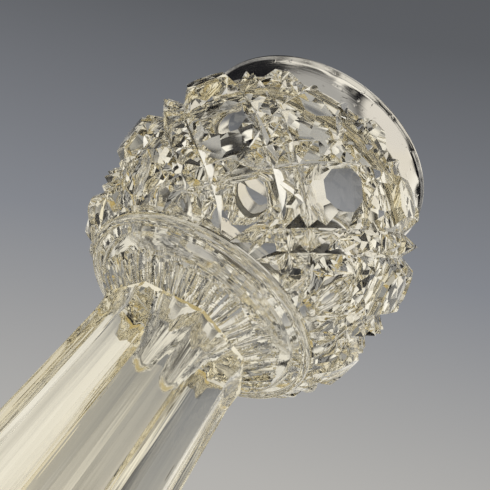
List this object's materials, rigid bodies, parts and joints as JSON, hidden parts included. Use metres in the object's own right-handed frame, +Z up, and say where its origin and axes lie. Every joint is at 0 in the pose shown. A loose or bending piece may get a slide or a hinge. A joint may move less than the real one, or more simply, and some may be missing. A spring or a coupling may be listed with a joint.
{
  "type": "cut glass vase",
  "caption": "Tall clear cut glass vase: a globe cut in diamonds and eight-sided buttons on a panelled stem and round foot, with a plain silver collar on the mouth.",
  "frame": {"origin": "centre of the underside of the foot", "axes": "+Z up along the axis of the vase, -Y toward the picture's camera, with a corner of the stem facing it"},
  "size_m": [0.0988, 0.0988, 0.25],
  "materials": {
    "clear_cut_glass": "clear lead glass, cut and polished, with a faint straw tint where it is thick",
    "silver": "polished silver with fine wear scratches, satin inside the lip",
    "bedding_plaster": "matt off-white plaster, hidden between the band and the neck"
  },
  "bodies": {
    "root": {"glass_body": "clear_cut_glass", "bedding_plaster": "bedding_plaster", "collar_band": "silver", "collar_rim": "silver", "collar_lining": "silver"}
  },
  "joints": []
}
